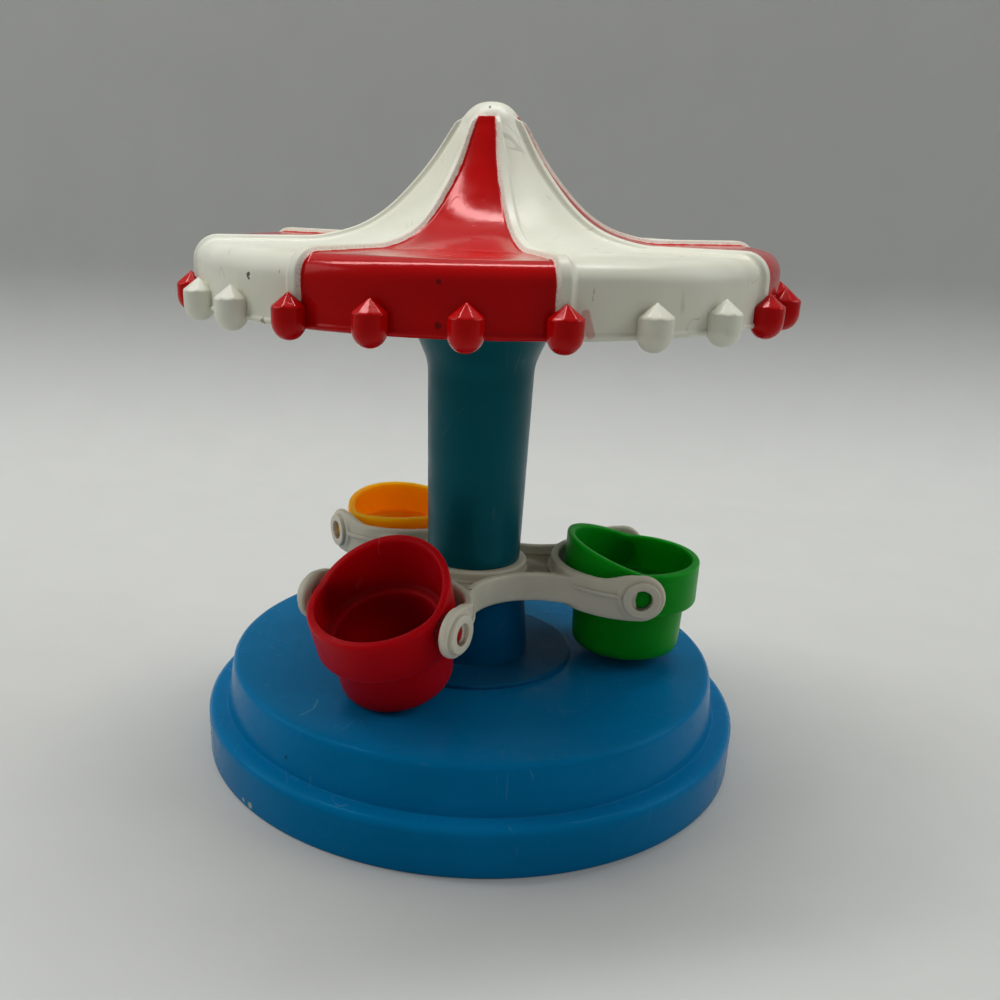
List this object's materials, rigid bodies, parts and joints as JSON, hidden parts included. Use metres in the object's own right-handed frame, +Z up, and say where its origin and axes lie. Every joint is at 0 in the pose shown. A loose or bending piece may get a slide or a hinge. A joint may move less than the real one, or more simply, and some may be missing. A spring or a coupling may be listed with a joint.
{
  "type": "toy carousel",
  "caption": "Hand-spun toy carousel: stepped round base, spinning canopy and column, and swinging cups for small egg-shaped figures.",
  "frame": {"origin": "centre of the base's underside, on the spin axis", "axes": "+Z up along the spin axis, +X towards the green cup's arm"},
  "size_m": [0.1486, 0.1486, 0.1637],
  "materials": {
    "base_blue": "satin moulded, scuffed",
    "carrier_cream": "yellowed satin",
    "column_teal": "satin moulded",
    "canopy_white": "satin with sprayed gloss red panels",
    "cup_green": "satin moulded",
    "cup_orange": "satin moulded",
    "cup_red": "satin moulded",
    "steel": "plain"
  },
  "bodies": {
    "base": {"base_shell": "base_blue", "center_post": "base_blue", "post_screws": "steel", "axle": "steel", "thrust_washer": "steel", "top_washer": "steel", "push_nut": "steel"},
    "carousel": {"carrier": "carrier_cream", "column": "column_teal", "canopy": "canopy_white", "canopy_screws": "steel"},
    "green_cup": {"cup_green": "cup_green"},
    "orange_cup": {"cup_orange": "cup_orange"},
    "red_cup": {"cup_red": "cup_red"}
  },
  "joints": [
    {"name": "carousel_spin", "type": "hinge", "parent": "base", "child": "carousel", "pos_m": [0, 0, 0.05], "axis": [0, 0, 1], "continuous": true},
    {"name": "green_cup_swing", "type": "hinge", "parent": "carousel", "child": "green_cup", "pos_m": [0.0428, 0, 0.04931], "axis": [0, 1, 0], "range_deg": [-14, 22]},
    {"name": "orange_cup_swing", "type": "hinge", "parent": "carousel", "child": "orange_cup", "pos_m": [-0.0214, 0.03707, 0.04931], "axis": [-0.866, -0.5, 0], "range_deg": [-2, 34]},
    {"name": "red_cup_swing", "type": "hinge", "parent": "carousel", "child": "red_cup", "pos_m": [-0.0214, -0.03707, 0.04931], "axis": [0.866, -0.5, 0], "range_deg": [-34, 2]}
  ]
}
